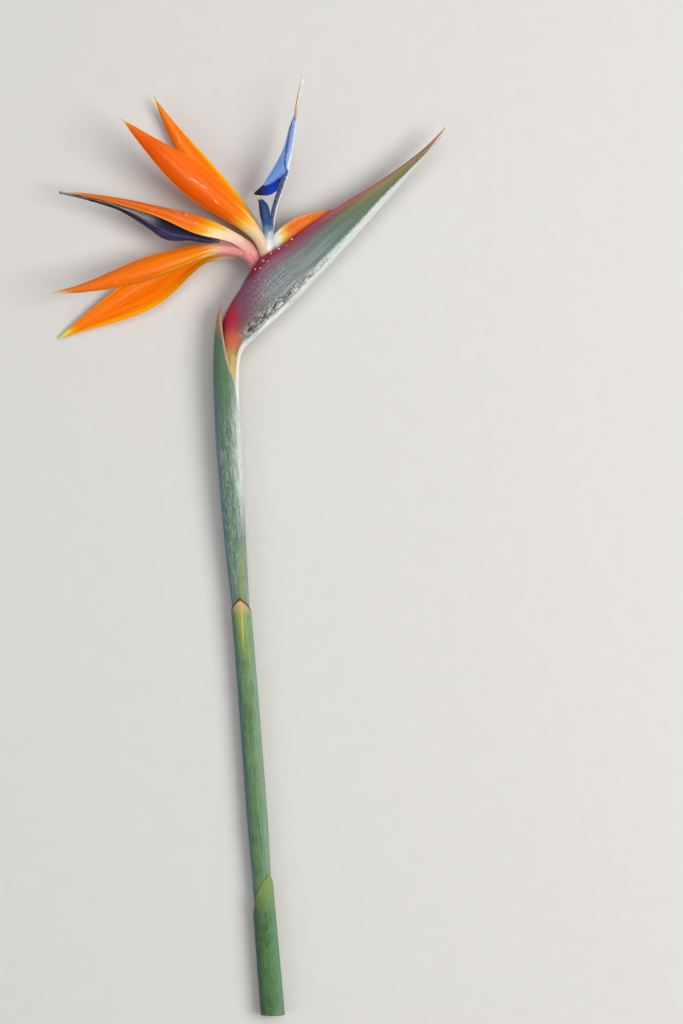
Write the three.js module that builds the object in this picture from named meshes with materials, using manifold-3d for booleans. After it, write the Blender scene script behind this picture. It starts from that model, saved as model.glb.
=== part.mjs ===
// Bird of paradise flower, picked with its stalk and laid down on a table.
// Millimetres. The flower head points to +Y, the cut end to -Y, and +Z is up from the table.
// Places are measured from the bend where the spathe leaves the stalk, and heights from the table.
// At the end the whole flower is moved so that its origin is the middle of its footprint.

import * as THREE from 'three';
import { mergeVertices } from 'three/addons/utils/BufferGeometryUtils.js';
import Module from 'manifold-3d';

const wasm = await Module();
wasm.setup();

// Driving dimensions

const CUT_END = -373.5;
const SPATHE_FOOT = -17.4;
const RECEPTACLE_TOP = 0;
const SEAT = 0.3;
const TILTED_SEAT = 0.7;
const SPATHE_WALL = 1.2;
const SEPAL_THICKNESS = 1;
const TABLE_REACH = 400;

// Centre of the stalk, one point every 70 mm from the cut end up: sideways place and height

const STEM_LOW = -374;
const STEM_STEP = 70;
const STEM_CENTRES = [
	[23.6, 6.85],
	[17.9, 7.25],
	[12.7, 7.4],
	[7.4, 8.3],
	[1.5, 10.5],
	[-2.3, 12.4],
	[-2.3, 13.2],
];

// Colours

const COLOURS = {
	stalk: 0xc9d6bd,
	sheath: 0x7f9c86,
	lowerSheath: 0x5f8a55,
	spathe: 0x8a8890,
	sepal: 0xff7a0a,
	oldSepal: 0xf57a18,
	neck: 0xeec7b4,
	tongue: 0x5f79d6,
	witheredTongue: 0x4c4468,
	hood: 0x47659c,
	stigma: 0xd8cdbd,
};

const finish = (colour, roughness = 0.5) =>
	new THREE.MeshStandardMaterial({ color: colour, roughness, metalness: 0 });

// Curves

const rail = (points) => new THREE.CatmullRomCurve3(points.map(([x, y, z]) => new THREE.Vector3(x, y, z)));

const graph = (values) => {
	const line = new THREE.SplineCurve(values.map((value, index) => new THREE.Vector2(index, value)));
	return (t) => line.getPoint(THREE.MathUtils.clamp(t, 0, 1)).y;
};

// A value that changes along the stalk: straight lines between pairs of place and value
const ramp = (pairs) => (place) => {
	const upper = pairs.findIndex(([limit]) => limit > place);
	if (upper === 0) {
		return pairs[0][1];
	}
	if (upper === -1) {
		return pairs[pairs.length - 1][1];
	}
	const [low, lowValue] = pairs[upper - 1];
	const [high, highValue] = pairs[upper];
	return THREE.MathUtils.mapLinear(place, low, high, lowValue, highValue);
};

const stemLine = new THREE.CatmullRomCurve3(
	STEM_CENTRES.map(([x, z], index) => new THREE.Vector3(x, STEM_LOW + index * STEM_STEP, z)),
	false,
	'catmullrom',
);

const stemCentre = (y) => {
	const length = STEM_STEP * (STEM_CENTRES.length - 1);
	return stemLine.getPoint(THREE.MathUtils.clamp((y - STEM_LOW) / length, 0, 1));
};

// Closed bodies

const signedVolume = (geometry) => {
	const position = geometry.getAttribute('position');
	const [a, b, c] = [new THREE.Vector3(), new THREE.Vector3(), new THREE.Vector3()];
	let sum = 0;
	for (let corner = 0; corner < geometry.index.count; corner += 3) {
		a.fromBufferAttribute(position, geometry.index.getX(corner));
		b.fromBufferAttribute(position, geometry.index.getX(corner + 1));
		c.fromBufferAttribute(position, geometry.index.getX(corner + 2));
		sum += a.dot(b.cross(c));
	}
	return sum;
};

const closedBody = (geometry) => {
	geometry.deleteAttribute('normal');
	geometry.deleteAttribute('uv');
	const body = mergeVertices(geometry, 0.001);
	if (signedVolume(body) < 0) {
		body.setIndex([...body.index.array].reverse());
	}
	body.computeVertexNormals();
	return body;
};

// Moves each vertex of a round three.js shape to the place that a rule gives it.
// The rule gets the share along the axis, the angle round it and the radius.
const reshape = (geometry, rule) => {
	const position = geometry.getAttribute('position');
	const from = new THREE.Vector3();
	for (let index = 0; index < position.count; index += 1) {
		from.fromBufferAttribute(position, index);
		const to = rule(from.y, Math.atan2(from.z, from.x), Math.hypot(from.x, from.z));
		position.setXYZ(index, to.x, to.y, to.z);
	}
	return closedBody(geometry);
};

const column = (around, along) => new THREE.CylinderGeometry(1, 1, 1, around, along).translate(0, 0.5, 0);

const toSolid = (geometry) => {
	const bare = geometry.clone();
	bare.deleteAttribute('normal');
	return new wasm.Manifold(
		new wasm.Mesh({
			numProp: 3,
			vertProperties: new Float32Array(bare.getAttribute('position').array),
			triVerts: new Uint32Array(bare.index.array),
		}),
	);
};

const toGeometry = (solid) => {
	const mesh = solid.getMesh();
	const geometry = new THREE.BufferGeometry();
	geometry.setAttribute('position', new THREE.BufferAttribute(mesh.vertProperties, 3));
	geometry.setIndex(new THREE.BufferAttribute(mesh.triVerts, 1));
	return closedBody(geometry);
};

// What would reach below the table is pressed flat there
const restOnTable = (geometry) => {
	const table = new THREE.BoxGeometry(TABLE_REACH * 3, TABLE_REACH * 3, TABLE_REACH);
	table.translate(0, 0, -TABLE_REACH / 2);
	return toGeometry(toSolid(geometry).subtract(toSolid(closedBody(table))));
};

// A folded blade between three rails: its keel and its two edges.
// Each half bellies out a little, away from the hollow side, and the edges are blunt.
const blade = ({ keel, left, right, thickness = SEPAL_THICKNESS, belly = 0.1, around = 12, along = 12 }) => {
	const [keelRail, leftRail, rightRail] = [rail(keel), rail(left), rail(right)];
	const halfNormal = (from, to, run) => to.clone().sub(from).cross(run).normalize();
	const middle = leftRail.getPoint(0.5).lerp(rightRail.getPoint(0.5), 0.5);
	const ridge = keelRail.getPoint(0.5).sub(middle);
	const across = halfNormal(leftRail.getPoint(0.5), rightRail.getPoint(0.5), keelRail.getTangent(0.5));
	const side = ridge.dot(across) < 0 ? -1 : 1;
	return reshape(column(around, along), (t, angle, radius) => {
		const k = keelRail.getPoint(t);
		const l = leftRail.getPoint(t);
		const r = rightRail.getPoint(t);
		const run = keelRail.getTangent(t);
		const share = Math.cos(angle) * radius;
		const edge = share < 0 ? l : r;
		const width = edge.distanceTo(k);
		const turn = THREE.MathUtils.clamp(0.5 + share * 1.5, 0, 1);
		const normal = halfNormal(l, k, run).lerp(halfNormal(k, r, run), turn).normalize().multiplyScalar(side);
		const sine = Math.sin(angle) * radius;
		const skin = Math.sign(sine) * Math.sqrt(Math.abs(sine)) * thickness * 0.5;
		const bulge = belly * width * Math.sin(Math.PI * Math.abs(share));
		return k.lerp(edge, Math.abs(share)).addScaledVector(normal, skin + bulge);
	});
};

// A round stem whose radius changes along its route
const shoot = ({ route, radii, around = 12, along = 16 }) => {
	const line = rail(route);
	const radiusAt = graph(radii);
	const up = new THREE.Vector3(0, 0, 1);
	return reshape(column(around, along), (t, angle, radius) => {
		const run = line.getTangent(t);
		const side = run.clone().cross(up).normalize();
		const rise = side.clone().cross(run);
		const reach = radiusAt(t) * radius;
		return line
			.getPoint(t)
			.addScaledVector(side, Math.cos(angle) * reach)
			.addScaledVector(rise, Math.sin(angle) * reach);
	});
};

// Stalk: a tapering core with a collar under each sheath and a slim seat inside the spathe's foot

const STALK_RADII = [
	[CUT_END, 5.75],
	[-322, 5.45],
	[-321.4, 4.35],
	[-291, 4.4],
	[-270, 4.9],
	[-234, 4.85],
	[-190, 4.8],
	[-162, 4.65],
	[-161.4, 3.3],
	[-142, 3.65],
	[-131, 4.15],
	[-112, 4.65],
	[-94, 5.15],
	[-60, 5.95],
	[-40, 6.5],
	[SPATHE_FOOT - 1.5, 6.3],
	[SPATHE_FOOT - SEAT, 6.2],
	[SPATHE_FOOT - SEAT + 0.1, 4.7],
	[-8, 4.2],
	[RECEPTACLE_TOP, 3.7],
];

const makeStalk = () => {
	const radiusAt = ramp(STALK_RADII);
	const last = STALK_RADII.length - 1;
	return reshape(column(16, last), (t, angle, radius) => {
		const y = STALK_RADII[Math.round(t * last)][0];
		const reach = radiusAt(y) * radius;
		const centre = stemCentre(y);
		return new THREE.Vector3(centre.x + Math.cos(angle) * reach, y, centre.z + Math.sin(angle) * reach);
	});
};

// Sheaths: tubes that wrap the stalk, with a slanted mouth that ends in a point.
// The mouth's heights are given from its point, at equal steps half way round.

const sheath = ({ foot, tipAngle, mouth, outer, inner, around = 20, along = 9 }) => {
	const outerAt = ramp(outer);
	const innerAt = ramp(inner);
	const mouthAt = graph(mouth);
	const wall = [];
	for (let step = 0; step <= along; step += 1) {
		wall.push(new THREE.Vector2(2, step / along));
	}
	for (let step = along; step >= 0; step -= 1) {
		wall.push(new THREE.Vector2(1, step / along));
	}
	wall.push(wall[0].clone());
	return reshape(new THREE.LatheGeometry(wall, around), (t, angle, radius) => {
		const turn = Math.abs(THREE.MathUtils.euclideanModulo(angle - tipAngle + Math.PI, 2 * Math.PI) - Math.PI);
		const y = THREE.MathUtils.lerp(foot, mouthAt(turn / Math.PI), t);
		const reach = radius > 1.5 ? outerAt(y) : innerAt(y);
		const centre = stemCentre(y);
		return new THREE.Vector3(centre.x + Math.cos(angle) * reach, y, centre.z + Math.sin(angle) * reach);
	});
};

const LOWER_SHEATH = {
	foot: CUT_END,
	tipAngle: 0.24 * Math.PI,
	mouth: [-291.5, -297, -306, -316, -325],
	outer: [[CUT_END, 7.1], [-345, 6.95], [-325, 6.75], [-300, 6.45], [-291, 6.4]],
	inner: [[CUT_END, 6.15], [-345, 6.05], [-322, 5.95], [-300, 5.8], [-291, 5.8]],
};

const MIDDLE_SHEATH = {
	foot: -321,
	tipAngle: 0.5 * Math.PI,
	mouth: [-131, -134.8, -139.5, -146, -151],
	outer: [
		[-321, 5.4], [-290, 5.45], [-268, 6.1], [-234, 6.05], [-190, 5.95], [-164, 5.85], [-139, 5.8], [-131, 5.95],
	],
	inner: [
		[-321, 4.75], [-290, 4.75], [-268, 5.25], [-234, 5.2], [-190, 5.15], [-164, 5.05], [-139, 5.2], [-131, 5.55],
	],
	along: 12,
};

const UPPER_SHEATH = {
	foot: -161,
	tipAngle: Math.PI,
	mouth: [39, 38.6, 37.2, 23, 8, -3, -17, -35, -42],
	outer: [
		[-161, 4.4], [-142, 4.7], [-131, 5.2], [-112, 5.95], [-94, 6.4], [-60, 7.2], [-40, 7.7], [-20, 8], [0, 8.5],
		[14, 8.2], [24, 7.7], [32, 6.9], [37, 6], [39, 5.3],
	],
	inner: [
		[-161, 3.65], [-142, 4], [-131, 4.5], [-112, 5.05], [-94, 5.5], [-60, 6.3], [-40, 6.85], [-20, 7.1], [0, 7.6],
		[14, 7.3], [24, 6.9], [32, 6.15], [37, 5.3], [39, 4.7],
	],
	around: 24,
	along: 16,
};

// Spathe: a bract folded along its keel. Its two walls run from the keel to their own free edges.
// The slit between the edges stands open where the flowers come out.

const SPATHE = {
	keel: [
		[4.3, SPATHE_FOOT], [4.2, -7.5], [4.3, 2.3], [5.5, 10.5], [9.3, 16], [17.4, 23.2], [27.8, 32.5], [39.4, 43.6],
		[51, 55.7], [65.5, 71.6], [82.9, 91.3], [100.3, 111.2], [115.9, 130], [121.2, 137.5], [124, 141.8],
	],
	nearEdge: [
		[-8.3, SPATHE_FOOT], [-7.8, -7.5], [-7, 2.3], [-6.4, 18], [-5.8, 29], [-3.2, 39.6], [6.6, 54.2], [15.6, 64.8],
		[29.6, 73.6], [45.2, 85], [66.1, 98.9], [87.6, 111.9], [109.6, 127.3], [118.6, 135.9], [123.3, 142.1],
	],
	farEdge: [
		[-8.3, SPATHE_FOOT], [-7.8, -7.5], [-7, 2.3], [-6.4, 18], [-5.8, 29], [-2.9, 40], [5.8, 53.2], [15, 64.2],
		[28.8, 73.4], [45.2, 84.3], [66.1, 98.9], [87.6, 111.9], [109.6, 127.3], [118.6, 135.9], [123.3, 142.1],
	],
	middle: [12.5, 12.5, 12.4, 12.3, 12.2, 12.1, 12, 12, 12.2, 12.8, 13.7, 14.6, 15.5, 16, 16.3],
	swell: [5.7, 5.4, 5.2, 6, 7, 7.8, 7.7, 8.1, 8.6, 7.7, 6.4, 4.5, 2.4, 1.1, 0.3],
	halfSlit: [0.3, 0.3, 0.3, 0.3, 0.5, 2.6, 6.7, 7.2, 5, 3, 0.6, 0.4, 0.3, 0.2, 0],
};

// The body that the spathe's walls enclose, up to a share of its length, with its foot let down by a drop.
// With the wall's thickness it is the outer form, and with none it is the hollow.
const spatheForm = ({ end, drop, around, along, wall }) => {
	const flat = (points) => rail(points.map(([x, y]) => [x, y, 0]));
	const [keelRail, nearRail, farRail] = [flat(SPATHE.keel), flat(SPATHE.nearEdge), flat(SPATHE.farEdge)];
	const middleAt = graph(SPATHE.middle);
	const swellAt = graph(SPATHE.swell);
	const slitAt = graph(SPATHE.halfSlit);
	const inset = SPATHE_WALL - wall;
	return reshape(column(around, along), (t, angle, radius) => {
		const share = end * t;
		const side = Math.sin(angle) < 0 ? -1 : 1;
		const keel = keelRail.getPoint(share);
		const edge = (side > 0 ? nearRail : farRail).getPoint(share);
		const spread = edge.clone().sub(keel).normalize();
		const halfEdge = Math.max(slitAt(share) + wall, 0);
		const swell = Math.max(swellAt(share) - inset / 2, 0.2);
		keel.addScaledVector(spread, inset);
		edge.addScaledVector(spread, inset * 2);
		const reach = (1 - Math.cos(angle)) / 2;
		const point = keel.lerp(edge, radius === 0 ? 0.5 : reach);
		const rise = radius === 0 ? 0 : halfEdge * reach + swell * Math.abs(Math.sin(angle));
		point.y -= t === 0 ? drop : 0;
		point.z = middleAt(share) + side * rise;
		return point;
	});
};

const makeSpathe = () => {
	const body = spatheForm({ end: 1, drop: 0, around: 22, along: 28, wall: SPATHE_WALL });
	const hollow = spatheForm({ end: 0.8, drop: 1, around: 18, along: 22, wall: 0 });
	return restOnTable(toGeometry(toSolid(body).subtract(toSolid(hollow))));
};

// Older flower: its neck bends over the spathe's edge, and its sepals point left

const FLORET_1_NECK = {
	route: [
		[-3.4, RECEPTACLE_TOP + TILTED_SEAT, 14.2], [-1.6, 12, 14.9], [4.6, 26, 15.4], [10.4, 39, 16],
		[15.6, 50, 15.8], [15.6, 57.6, 14.9], [13.4, 63, 14.4], [11.2, 67.2, 14.3], [7.4, 70.6, 14.6], [2.5, 72, 15],
		[-1.5, 72.2, 15], [-5, 72, 15],
	],
	radii: [1.7, 2, 2.6, 3.2, 3.8, 4.1, 4.4, 4.6, 4.5, 4.4, 4.2, 3.9],
	along: 22,
};

const FLORET_1_SEPAL_UPPER = {
	keel: [
		[6.5, 75.5, 19.5], [0.2, 81.9, 20.3], [-14.8, 89.4, 20.5], [-35.6, 94.3, 21], [-58.7, 99.3, 21.5],
		[-79, 102.3, 21.8], [-97, 104.2, 22],
	],
	left: [
		[4, 73, 21.5], [-5.5, 77.2, 24], [-20.5, 78.9, 25.5], [-38.9, 87.9, 25.5], [-59.8, 95, 24],
		[-79.5, 100.2, 23], [-96.9, 103.8, 22.5],
	],
	right: [
		[4, 77.5, 15.8], [-5.5, 78.8, 14.8], [-20.5, 80, 15], [-38.9, 88.6, 16.5], [-59.8, 95.4, 18.5],
		[-79.5, 100.6, 20.3], [-96.9, 103.9, 21.5],
	],
	thickness: 0.9,
};

const FLORET_1_SEPAL_MIDDLE = {
	keel: [
		[0.8, 70.9, 20.8], [-10.2, 70.8, 22], [-25.1, 65.5, 23.5], [-44.1, 58.4, 26], [-64.1, 52.5, 29],
		[-84.7, 47.4, 32], [-104.3, 44.5, 34],
	],
	left: [
		[-0.4, 74.3, 20], [-12, 74.5, 18.5], [-29.9, 71.5, 19], [-51.8, 65.7, 21.5], [-72.4, 56.3, 26],
		[-89.4, 48.9, 30.5], [-104.1, 45, 33.8],
	],
	right: [
		[-1, 68.2, 20], [-11.4, 68.2, 18.5], [-26.5, 61.2, 18], [-45.5, 53.5, 20.5], [-64.9, 48.4, 25],
		[-84.8, 45.4, 30], [-104.1, 44, 33.8],
	],
};

const FLORET_1_SEPAL_LOWER = {
	keel: [
		[-0.7, 69.5, 9.4], [-14.1, 68.6, 7.8], [-27, 61, 4.8], [-42.2, 50.9, 2.3], [-62.7, 40.4, 0.9],
		[-84.2, 29.6, 0.45], [-101.4, 19.6, 2.2],
	],
	left: [
		[-1.8, 72.4, 9.8], [-16.9, 72.3, 11], [-34.9, 67.5, 9.5], [-54.8, 57.7, 7.5], [-74.7, 42.7, 5.5],
		[-89.3, 30.8, 3.8], [-101.6, 20.2, 2.6],
	],
	right: [
		[-2.4, 66.8, 9.8], [-15.1, 63.9, 11], [-25.7, 54.7, 9], [-40.3, 40.6, 7], [-61.9, 30.8, 5],
		[-86.4, 24.3, 3.3], [-101, 19.3, 2.6],
	],
};

const FLORET_1_TONGUE = {
	keel: [
		[-7.4, 74.6, 17.6], [-20.7, 77.7, 20], [-34.5, 80.8, 21.6], [-48.3, 88, 21.9], [-64.5, 95, 21.6],
		[-81.9, 100.1, 20.9], [-99.5, 103.7, 20.2],
	],
	left: [
		[-6.8, 75.8, 17], [-19.6, 81.3, 18.6], [-33.4, 86.4, 19], [-47.8, 92.4, 19.9],
		[-63.4, 97.1, 20.7], [-80.8, 100.7, 20.5], [-99.5, 104.2, 20.2],
	],
	right: [
		[-8, 73.5, 16.5], [-23.1, 76, 17], [-38.1, 76.4, 17.5], [-49.6, 84, 18.5], [-65.8, 93.6, 19.8],
		[-83.1, 99.2, 20.2], [-99.5, 103.2, 20.2],
	],
	thickness: 0.8,
};

// Newer flower: its neck stands up out of the spathe

const FLORET_2_NECK = {
	route: [
		[-1, RECEPTACLE_TOP + TILTED_SEAT, 10.8], [0.2, 12, 10.7], [6, 25.5, 9.6], [13, 38.5, 8.6],
		[19, 49.6, 8.2], [22.2, 60, 9.8], [21.6, 67, 12.8], [20.9, 72.5, 14], [20.5, 77.6, 14.6],
	],
	radii: [1.7, 2, 2.6, 3.2, 3.5, 3.8, 4.1, 4.1, 3.7],
};

const FLORET_2_SEPAL_NEAR = {
	keel: [
		[19.4, 69.4, 19.3], [14.1, 82.3, 22.5], [-2, 93, 26], [-22.6, 109.3, 31.5], [-43.5, 130.3, 38.5],
		[-56.6, 140.2, 42], [-63.8, 144.3, 44],
	],
	left: [
		[16.9, 68.2, 18.5], [11.7, 78.5, 19.5], [-7.3, 89.3, 21.5], [-28.5, 102.8, 26.5],
		[-47.7, 124.1, 34.5], [-58.3, 137.9, 41], [-63.9, 143.8, 43.8],
	],
	right: [
		[21.6, 71, 18.7], [15.6, 84.5, 19.8], [2.9, 100, 22], [-14.1, 117.2, 27], [-35.1, 129.2, 35.5],
		[-53.2, 138.6, 41], [-63.3, 144.8, 43.8],
	],
};

const FLORET_2_SEPAL_FAR = {
	keel: [
		[18, 70.5, 9.2], [10.4, 84.4, 10], [-5.4, 100.6, 10.4], [-22.3, 121.4, 9.9], [-35.5, 142.6, 8.8],
		[-42.2, 154, 7.8], [-46, 161.4, 7],
	],
	left: [
		[15.2, 70.2, 8.2], [6.3, 82.3, 7.6], [-10.7, 97.4, 7.2], [-28, 118.2, 7.2], [-37.8, 140.2, 6.9],
		[-43, 152.2, 6.7], [-46.3, 160.8, 6.8],
	],
	right: [
		[20.6, 72, 8], [15.2, 86.8, 7.4], [3.6, 102.8, 6.8], [-15.2, 125.6, 6.3], [-30.9, 142.3, 6.2],
		[-39.5, 152.5, 6.4], [-45.4, 161.2, 6.8],
	],
};

const FLORET_2_SEPAL_SIDE = {
	keel: [[26.2, 67, 12.6], [32, 71.2, 12.5], [40.6, 77.8, 12.8], [49.2, 85.2, 13.2], [58.2, 93.4, 13.6]],
	left: [[25.2, 79.2, 16], [29.3, 84.7, 17.2], [37.6, 89.6, 16.8], [47.6, 92.3, 15], [58, 94.3, 14]],
	right: [[25.2, 79.2, 9.4], [29.3, 85, 8.4], [37.6, 90.2, 9.2], [47.6, 92.7, 11.2], [58, 94.3, 13.2]],
	along: 9,
};

const FLORET_2_TONGUE = {
	keel: [
		[23.8, 78, 16], [24.3, 83.2, 17.4], [25, 89.5, 18.8], [25.9, 95.2, 19.6], [27.5, 101.5, 20], [29, 107, 20.3],
		[30, 111, 20.5], [30.9, 114.5, 20.6], [31.6, 117.8, 20.7], [32.4, 120.6, 20.9], [33.4, 125.2, 21.3],
		[34.7, 131.4, 21.9], [35.9, 139.5, 22.6], [37.2, 147.4, 23.3],
	],
	left: [
		[21.7, 78, 16.6], [21.8, 83.2, 18.2], [22.2, 89.3, 19.6], [23.3, 94.6, 20.6], [25.2, 100.8, 21.2],
		[27.2, 106.8, 21.4], [28.6, 111.4, 21.6], [29.6, 115.4, 21.9], [25.2, 109.8, 23.4], [18.3, 107.2, 25],
		[24, 117.2, 24.6], [29.6, 128, 24.2], [33, 140, 23.8], [36.2, 147.6, 23.7],
	],
	right: [
		[21.9, 78.2, 15.2], [22, 83.4, 16.4], [22.5, 89.5, 17.6], [23.5, 95, 18.4], [25.1, 100.6, 18.8],
		[26.2, 105.2, 18.4], [22.4, 102.4, 16.8], [17.4, 102.2, 15], [12.5, 103.1, 14], [15.6, 106.4, 14.6],
		[24, 114, 16], [30.2, 127, 19], [33.6, 139.6, 21], [36.4, 147.4, 22.9],
	],
	thickness: 0.8,
	belly: 0.07,
	along: 39,
};

const FLORET_2_HOOD = {
	keel: [
		[19.7, 77.9, 17.2], [19.5, 84.7, 20], [19, 89, 21.4], [18.4, 93.1, 22], [17.6, 96.5, 22.1], [16, 99.2, 21.9],
		[14.6, 101.6, 21.6],
	],
	left: [
		[18.7, 77.9, 16.6], [17.8, 84.7, 18.4], [16.6, 89, 19], [15.8, 93.1, 19.4], [15.6, 96.5, 20],
		[15.2, 99.2, 20.8], [14.3, 101.4, 21.4],
	],
	right: [
		[20.6, 77.9, 16.6], [20.9, 84.7, 18.4], [21.1, 89, 19], [20.8, 93.1, 19.4], [19.4, 96.5, 20],
		[16.9, 99.2, 20.8], [14.9, 101.7, 21.4],
	],
	thickness: 0.7,
};

const FLORET_2_STIGMA = {
	route: [[37.2, 148, 23.4], [38.4, 157.5, 24.3], [40, 164.7, 25.2], [41.2, 169.2, 25.9], [40.8, 171.305, 26]],
	radii: [1, 0.85, 0.75, 0.6, 0.35],
	around: 8,
	along: 10,
};

// The pieces and their finish

const flower = new THREE.Group();

const addPiece = (name, geometry, colour, roughness) => {
	const piece = new THREE.Mesh(geometry, finish(colour, roughness));
	piece.name = name;
	flower.add(piece);
};

addPiece('stalk', makeStalk(), COLOURS.stalk, 0.55);
addPiece('sheath_lower', restOnTable(sheath(LOWER_SHEATH)), COLOURS.lowerSheath, 0.5);
addPiece('sheath_middle', sheath(MIDDLE_SHEATH), COLOURS.sheath, 0.5);
addPiece('sheath_upper', sheath(UPPER_SHEATH), COLOURS.sheath, 0.55);
addPiece('spathe', makeSpathe(), COLOURS.spathe, 0.45);
addPiece('floret_1_neck', shoot(FLORET_1_NECK), COLOURS.neck, 0.45);
addPiece('floret_1_sepal_upper', blade(FLORET_1_SEPAL_UPPER), COLOURS.oldSepal, 0.4);
addPiece('floret_1_sepal_middle', blade(FLORET_1_SEPAL_MIDDLE), COLOURS.oldSepal, 0.4);
addPiece('floret_1_sepal_lower', restOnTable(blade(FLORET_1_SEPAL_LOWER)), COLOURS.oldSepal, 0.4);
addPiece('floret_1_tongue', blade(FLORET_1_TONGUE), COLOURS.witheredTongue, 0.6);
addPiece('floret_2_neck', shoot(FLORET_2_NECK), COLOURS.neck, 0.45);
addPiece('floret_2_sepal_near', blade(FLORET_2_SEPAL_NEAR), COLOURS.sepal, 0.4);
addPiece('floret_2_sepal_far', blade(FLORET_2_SEPAL_FAR), COLOURS.sepal, 0.4);
addPiece('floret_2_sepal_side', blade(FLORET_2_SEPAL_SIDE), COLOURS.sepal, 0.4);
addPiece('floret_2_tongue', blade(FLORET_2_TONGUE), COLOURS.tongue, 0.4);
addPiece('floret_2_hood', blade(FLORET_2_HOOD), COLOURS.hood, 0.45);
addPiece('floret_2_stigma', shoot(FLORET_2_STIGMA), COLOURS.stigma, 0.6);

const footprint = new THREE.Box3().setFromObject(flower);
const centre = footprint.getCenter(new THREE.Vector3());
flower.position.set(-centre.x, -centre.y, 0);

const plant = new THREE.Group();
plant.add(flower);

export default plant;
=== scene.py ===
"""Bird of paradise flower lying on a pale surface, seen from above. Metres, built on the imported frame."""

import math

import bmesh
import bpy
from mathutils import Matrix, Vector


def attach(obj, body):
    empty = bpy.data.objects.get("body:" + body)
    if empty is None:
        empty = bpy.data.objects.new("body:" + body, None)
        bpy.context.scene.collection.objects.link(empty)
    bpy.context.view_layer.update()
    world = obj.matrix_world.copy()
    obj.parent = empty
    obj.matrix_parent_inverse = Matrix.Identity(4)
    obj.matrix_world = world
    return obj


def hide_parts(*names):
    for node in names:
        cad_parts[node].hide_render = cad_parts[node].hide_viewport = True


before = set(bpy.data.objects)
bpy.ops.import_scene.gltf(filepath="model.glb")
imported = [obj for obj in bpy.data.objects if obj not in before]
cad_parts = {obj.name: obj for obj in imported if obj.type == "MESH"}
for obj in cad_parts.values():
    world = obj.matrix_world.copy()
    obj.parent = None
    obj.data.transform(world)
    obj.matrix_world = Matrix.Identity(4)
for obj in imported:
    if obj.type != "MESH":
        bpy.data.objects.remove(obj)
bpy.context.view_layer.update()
scene = bpy.context.scene
bpy.ops.object.select_all(action="DESELECT")

# Sizes and places. Points are in millimetres, measured from the bend where the spathe leaves the stalk.

MM = 0.001
HOME = Vector((-9.824, 101.066, 0))
# The lowest height of a point, the distance at which seams are joined and the step in to an end cap.
LOWEST = 0.02
WELD = 0.02
CAP_STEP = 0.25
# The share of a wall that is kept at weight zero.
THINNEST = 0.12

CUT_END = -373.5
SPATHE_FOOT = -17.4
STEM_LOW = -374
STEM_STEP = 70
STEM_CENTRES = [(23.6, 6.85), (17.9, 7.25), (12.7, 7.4), (7.4, 8.3), (1.5, 10.5), (-2.3, 12.4), (-2.3, 13.2)]


def spot(x, y, z):
    """A point of the flower, in metres in the part's own frame."""
    return (Vector((x, y, z)) + HOME) * MM


def smooth(low, high, x):
    x = min(max((x - low) / (high - low), 0), 1)
    return x * x * (3 - 2 * x)


def rail(points):
    """A smooth curve through points, as a function of the share along it."""
    points = [Vector(p) for p in points]

    def at(t):
        place = min(max(t, 0), 1) * (len(points) - 1)
        i = min(int(place), len(points) - 2)
        w = place - i
        b, c = points[i], points[i + 1]
        a = points[i - 1] if i > 0 else b * 2 - c
        d = points[i + 2] if i + 2 < len(points) else c * 2 - b
        ta, tb, tc = [max((q - p).length, 1e-4) ** 0.5 for p, q in ((a, b), (b, c), (c, d))]
        start = ((b - a) / ta - (c - a) / (ta + tb) + (c - b) / tb) * tb
        end = ((c - b) / tb - (d - b) / (tb + tc) + (d - c) / tc) * tb
        bend = (b - c) * 2 + start + end
        turn = (c - b) * 3 - start * 2 - end
        return bend * w**3 + turn * w**2 + start * w + b

    return at


def graph(values):
    """A smooth curve through equally spaced values."""
    at = rail([(index, value, 0) for index, value in enumerate(values)])
    return lambda t: at(t).y


def steps(pairs):
    """Straight lines between pairs of place and value."""

    def at(place):
        if place <= pairs[0][0]:
            return pairs[0][1]
        for (low, low_value), (high, high_value) in zip(pairs, pairs[1:]):
            if place <= high:
                return low_value + (high_value - low_value) * (place - low) / (high - low)
        return pairs[-1][1]

    return at


def heading(at, t):
    """The direction of a curve at a share along it."""
    return (at(min(t + 0.002, 1)) - at(max(t - 0.002, 0))).normalized()


stem_line = rail([(x, STEM_LOW + i * STEM_STEP, z) for i, (x, z) in enumerate(STEM_CENTRES)])


def stem_centre(y):
    return stem_line((y - STEM_LOW) / (STEM_STEP * (len(STEM_CENTRES) - 1)))


# Modelling


def take(piece):
    """Makes a piece the only one selected."""
    bpy.ops.object.select_all(action="DESELECT")
    bpy.context.view_layer.objects.active = piece
    piece.select_set(True)


def edit(piece):
    take(piece)
    bpy.ops.object.mode_set(mode="EDIT")
    bpy.ops.mesh.select_mode(type="VERT")
    bpy.ops.mesh.select_all(action="DESELECT")


def leave():
    bpy.ops.object.mode_set(mode="OBJECT")


def grid(name, columns, rows, place, *finishes):
    """A grid of points laid out where place(across, along) says. Both run from 0 to 1."""
    middle = spot(*place(0.5, 0.5))
    bpy.ops.mesh.primitive_grid_add(
        x_subdivisions=columns, y_subdivisions=rows, size=0.02, location=middle, calc_uvs=True
    )
    piece = bpy.context.object
    piece.name = piece.data.name = name
    bpy.ops.object.transform_apply(location=True, rotation=True, scale=True)
    edit(piece)
    shape = bmesh.from_edit_mesh(piece.data)
    points = shape.verts
    points.ensure_lookup_table()
    for index in range((columns + 1) * (rows + 1)):
        along, across = divmod(index, columns + 1)
        point = points[index]
        point.select_set(True)
        shift = spot(*place(across / columns, along / rows)) - point.co
        bpy.ops.transform.translate(value=shift)
        point.select_set(False)
    leave()
    for finish in finishes:
        piece.data.materials.append(finish)
    return piece


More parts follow.
